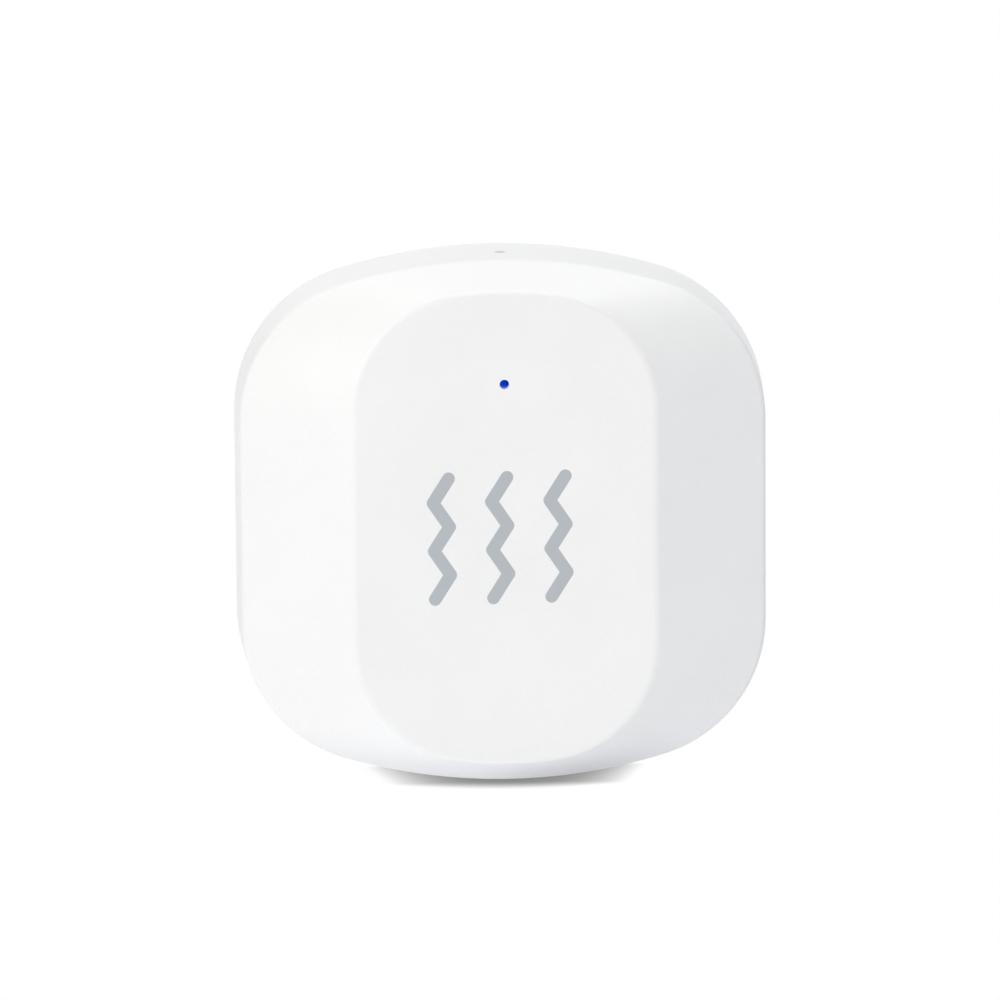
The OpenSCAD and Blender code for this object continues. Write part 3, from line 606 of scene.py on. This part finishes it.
finish = {
    "front_shell": housing_plastic("housing_white", (0.878, 0.8775, 0.876), 0.46),
    "rear_cover": cover_plastic("cover_white", (0.85, 0.853, 0.856), 0.52),
    "light_pipe": lit_tip("light_blue"),
    "main_board": circuit_board("board_green"),
    "board_screws": metal("zinc_plate", (0.62, 0.63, 0.65), 0.35),
    "indicator_led": moulded("led_cream", (0.8, 0.78, 0.66), 0.4),
    "radio_chip": chip_black,
    "motion_chip": chip_black,
    "crystal": nickel,
    "antenna_trace": metal("gold_flash", (0.85, 0.58, 0.25), 0.3),
    "reservoir_capacitor": chip_part("reservoir_yellow", (0.62, 0.36, 0.04), 0.5, body_height=2.5 * MM),
    "ceramic_capacitors": chip_part("ceramic_tan", (0.38, 0.24, 0.13), 0.5, body_height=0.8 * MM),
    "chip_resistors": chip_part("resistor_black", (0.025, 0.025, 0.03), 0.35, body_height=0.45 * MM),
    "switch_base": holder_black,
    "switch_cover": nickel,
    "switch_terminals": nickel,
    "reset_plunger": moulded("plunger_white", (0.72, 0.72, 0.7), 0.45),
    "battery_holder": holder_black,
    "positive_contact": nickel,
    "negative_contact": nickel,
    "cell_can": coin_cell_steel("cell_steel"),
    "cell_gasket": moulded("seal_black", (0.03, 0.03, 0.03), 0.6),
    "cell_cap": nickel,
    "cell_core": moulded("core_grey", (0.06, 0.06, 0.06), 0.8, per_metre=3000.0, bump=0.4),
}
for node, material in finish.items():
    dress(nodes[node], material)


# Added pieces

def add_print():
    """Printed sign: three upright zigzag strokes side by side, rolled slightly as one print."""
    pitch, swing, rise, bends = 4.51 * MM, 0.62 * MM, 1.88 * MM, 6
    half_stroke, film = 0.49 * MM, 0.006 * MM
    place = np.array([-0.415, -0.66]) * MM
    roll = math.radians(0.8)
    turn = np.array([[math.cos(roll), math.sin(roll)], [-math.sin(roll), math.cos(roll)]])
    paths = [zigzag((column * pitch, 0.0), swing, rise, bends) @ turn + place for column in (-1, 0, 1)]
    films = [ink_film(path, half_stroke, FACE_Y, film) for path in paths]
    dress(solids("zigzag_print", films, "housing", caps=False), ink_grey)


def add_foam_pad():
    """Foam pad between the cover and the wall, in place of its plain solid."""
    corner_r, film, draw = 4 * MM, 0.07 * MM, 0.06 * MM
    low, high, _ = node_box("adhesive_pad")
    pad = solids("foam_pad", [die_cut_foam(low, high, corner_r, film, draw)], "wall_plate")
    dress(pad, foam("pad_foam"))
    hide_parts("adhesive_pad")


def add_solder():
    """Solder at the four feet of the switch and at the foot of the positive contact."""
    foot, foot_mound = 0.35 * MM, (0.62 * MM, 0.58 * MM, 0.12 * MM)
    clip_foot, clip_mound = 0.95 * MM, (1.4 * MM, 2.3 * MM, 0.2 * MM)
    low, high, _ = node_box("switch_terminals")
    feet = [(side * (high[0] - foot), z) for side in (-1, 1) for z in (low[2] + foot, high[2] - foot)]
    mounds = [solder_mound(at, *foot_mound, BOARD_REAR_Y) for at in feet]
    _, high, middle = node_box("positive_contact")
    mounds.append(solder_mound((high[0] - clip_foot, middle[2]), *clip_mound, BOARD_REAR_Y))
    dress(solids("solder_joints", mounds, "housing"), solder)


def add_snap_strip():
    """Snap strip under the reset plunger, in place of the switch dome's plain solid."""
    thick = 0.08 * MM
    low, high, middle = node_box("switch_dome")
    strip = solids("snap_strip", [snap_strip(low, high, thick)], "housing")
    dress(strip, nickel)
    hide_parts("switch_dome")
    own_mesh(strip)


add_print()
add_foam_pad()
add_solder()
add_snap_strip()


# Studio: a floor that shows white but for the contact shadow, a white surround, and soft lamps

def seen_directly(tree):
    """1 for rays that show the studio to the eye, directly or in gloss and glass, and 0 for those that only
    light."""
    rays = add(tree, "ShaderNodeLightPath").outputs
    plain_or_gloss = calc(tree, "MAXIMUM", rays["Is Camera Ray"], rays["Is Glossy Ray"])
    return calc(tree, "MAXIMUM", plain_or_gloss, rays["Is Transmission Ray"])


def pool(tree, at, squeeze, inner, outer, value, value_outside):
    """A value on the floor that goes over into another away from a place, in an oval along x."""
    _, x, y, _ = parts_of(tree, (*at, 0.0))
    away = length(tree, calc(tree, "MULTIPLY", x, squeeze), y)
    return span(tree, away, inner, outer, value, value_outside)


def floor_white():
    """Floor finish: where it is seen, white but for the contact shadow in the last gap under the part, on
    the side away from the light. Where it only lights, a pale sheet that glows softly, with a painted
    shadow under the right of the part's front and a painted pool of light ahead of it."""
    pale, glow_tint, glow_strength = (0.49, 0.5, 0.52), (0.97, 0.98, 1.02, 1.0), 0.52
    shadow_reach, darkest = 1.6 * MM, 0.24
    material, tree, matt = new_material("floor_white")
    to_light = add(tree, "ShaderNodeCombineXYZ", {"X": -0.4, "Y": -0.76, "Z": 0.51}).outputs["Vector"]
    openness = add(tree, "ShaderNodeAmbientOcclusion",
                   {"Distance": shadow_reach, "Normal": to_light}, samples=16).outputs["AO"]
    lightness = calc(tree, "POWER", span(tree, openness, 0.4, 0.88), 1.3)
    shown = add(tree, "ShaderNodeEmission", {"Strength": span(tree, lightness, 0.0, 1.0, darkest, 1.0)})
    # painted shadow in the floor's glow and colour under the right of the part's front
    shade = pool(tree, (7.5 * MM, -11.0 * MM), 0.6, 1.0 * MM, 6.0 * MM, 0.68, 1.0)
    # painted pool of light on the floor ahead of the part
    gleam = pool(tree, (6.0 * MM, -22.0 * MM), 0.5, 4.0 * MM, 11.0 * MM, 0.068, 0.0)
    strength = calc(tree, "ADD", calc(tree, "MULTIPLY", shade, glow_strength), gleam)
    glow = add(tree, "ShaderNodeEmission", {"Color": glow_tint, "Strength": strength})
    feed(tree, matt, {"Base Color": blend(tree, shade, BLACK, pale)})
    matt.inputs["Roughness"].default_value = 1.0
    matt.inputs["Specular IOR Level"].default_value = 0.0
    lit = add(tree, "ShaderNodeAddShader", {0: glow.outputs["Emission"], 1: matt.outputs["BSDF"]})
    parts = {0: seen_directly(tree), 1: lit.outputs["Shader"], 2: shown.outputs["Emission"]}
    both = add(tree, "ShaderNodeMixShader", parts)
    output = next(node for node in tree.nodes if node.type == "OUTPUT_MATERIAL")
    tree.links.new(both.outputs["Shader"], output.inputs["Surface"])
    return material


def add_floor():
    """Wide level floor under the part."""
    reach = 3.0
    corners = [(x * reach, y * reach, FLOOR_Z) for x, y in ((-1, -1), (1, -1), (1, 1), (-1, 1))]
    mesh = bpy.data.meshes.new("floor")
    mesh.from_pydata(corners, [], [[0, 1, 2, 3]])
    floor = bpy.data.objects.new("floor", mesh)
    scene.collection.objects.link(floor)
    mesh.materials.append(floor_white())


def add_surround():
    """White surround: full white where it is seen, and a plain soft light elsewhere."""
    light_tint, light_strength, white = (0.985, 0.995, 1.02), 0.326, (1.0, 1.0, 1.0)
    scene.world = bpy.data.worlds.new("studio")
    scene.world.use_nodes = True
    tree = scene.world.node_tree
    tree.nodes.clear()
    seen = seen_directly(tree)
    look = {"Color": blend(tree, seen, light_tint, white),
            "Strength": span(tree, seen, 0.0, 1.0, light_strength, 1.0)}
    sky = add(tree, "ShaderNodeBackground", look)
    add(tree, "ShaderNodeOutputWorld", {"Surface": sky.outputs["Background"]})


def add_lamp(name, place, aim, size, watts, colour):
    """A square soft lamp at a place, facing a point."""
    light = bpy.data.lights.new(name, "AREA")
    light.size, light.energy, light.color = size, watts, colour
    item = bpy.data.objects.new(name, light)
    item.location = place
    item.rotation_euler = (Vector(aim) - Vector(place)).to_track_quat("-Z", "Y").to_euler()
    scene.collection.objects.link(item)


def add_camera(aim, azimuth, elevation, distance, roll):
    """Camera at the photograph's direction, distance, roll and framing. Angles are in degrees."""
    azimuth, elevation, roll = (math.radians(angle) for angle in (azimuth, elevation, roll))
    away = Vector((math.sin(azimuth) * math.cos(elevation), -math.cos(azimuth) * math.cos(elevation),
                   math.sin(elevation)))
    lens = bpy.data.cameras.new("camera")
    lens.lens, lens.sensor_width = 210.05, 36.0
    lens.shift_x, lens.shift_y = -0.00264, 0.01728
    lens.clip_start, lens.clip_end = 0.01, 20.0
    camera = bpy.data.objects.new("camera", lens)
    look = (-away).to_track_quat("-Z", "Y").to_matrix().to_4x4()
    turn = Matrix.Rotation(roll, 4, "Z")
    camera.matrix_world = Matrix.Translation(aim + away * distance) @ look @ turn
    scene.collection.objects.link(camera)
    scene.camera = camera


aim = Vector((0.0, -0.007, 0.0))
add_floor()
add_surround()
add_lamp("left_softbox", (-0.53, -0.71, 0.25), aim, size=0.4, watts=3.72, colour=(1.025, 1.0, 0.942))
add_lamp("top_softbox", (0.14, 0.04, 0.77), aim, size=0.7, watts=3.95, colour=(0.99, 1.0, 1.01))
add_camera(aim, azimuth=-1.90, elevation=8.14, distance=0.4573, roll=-0.44)
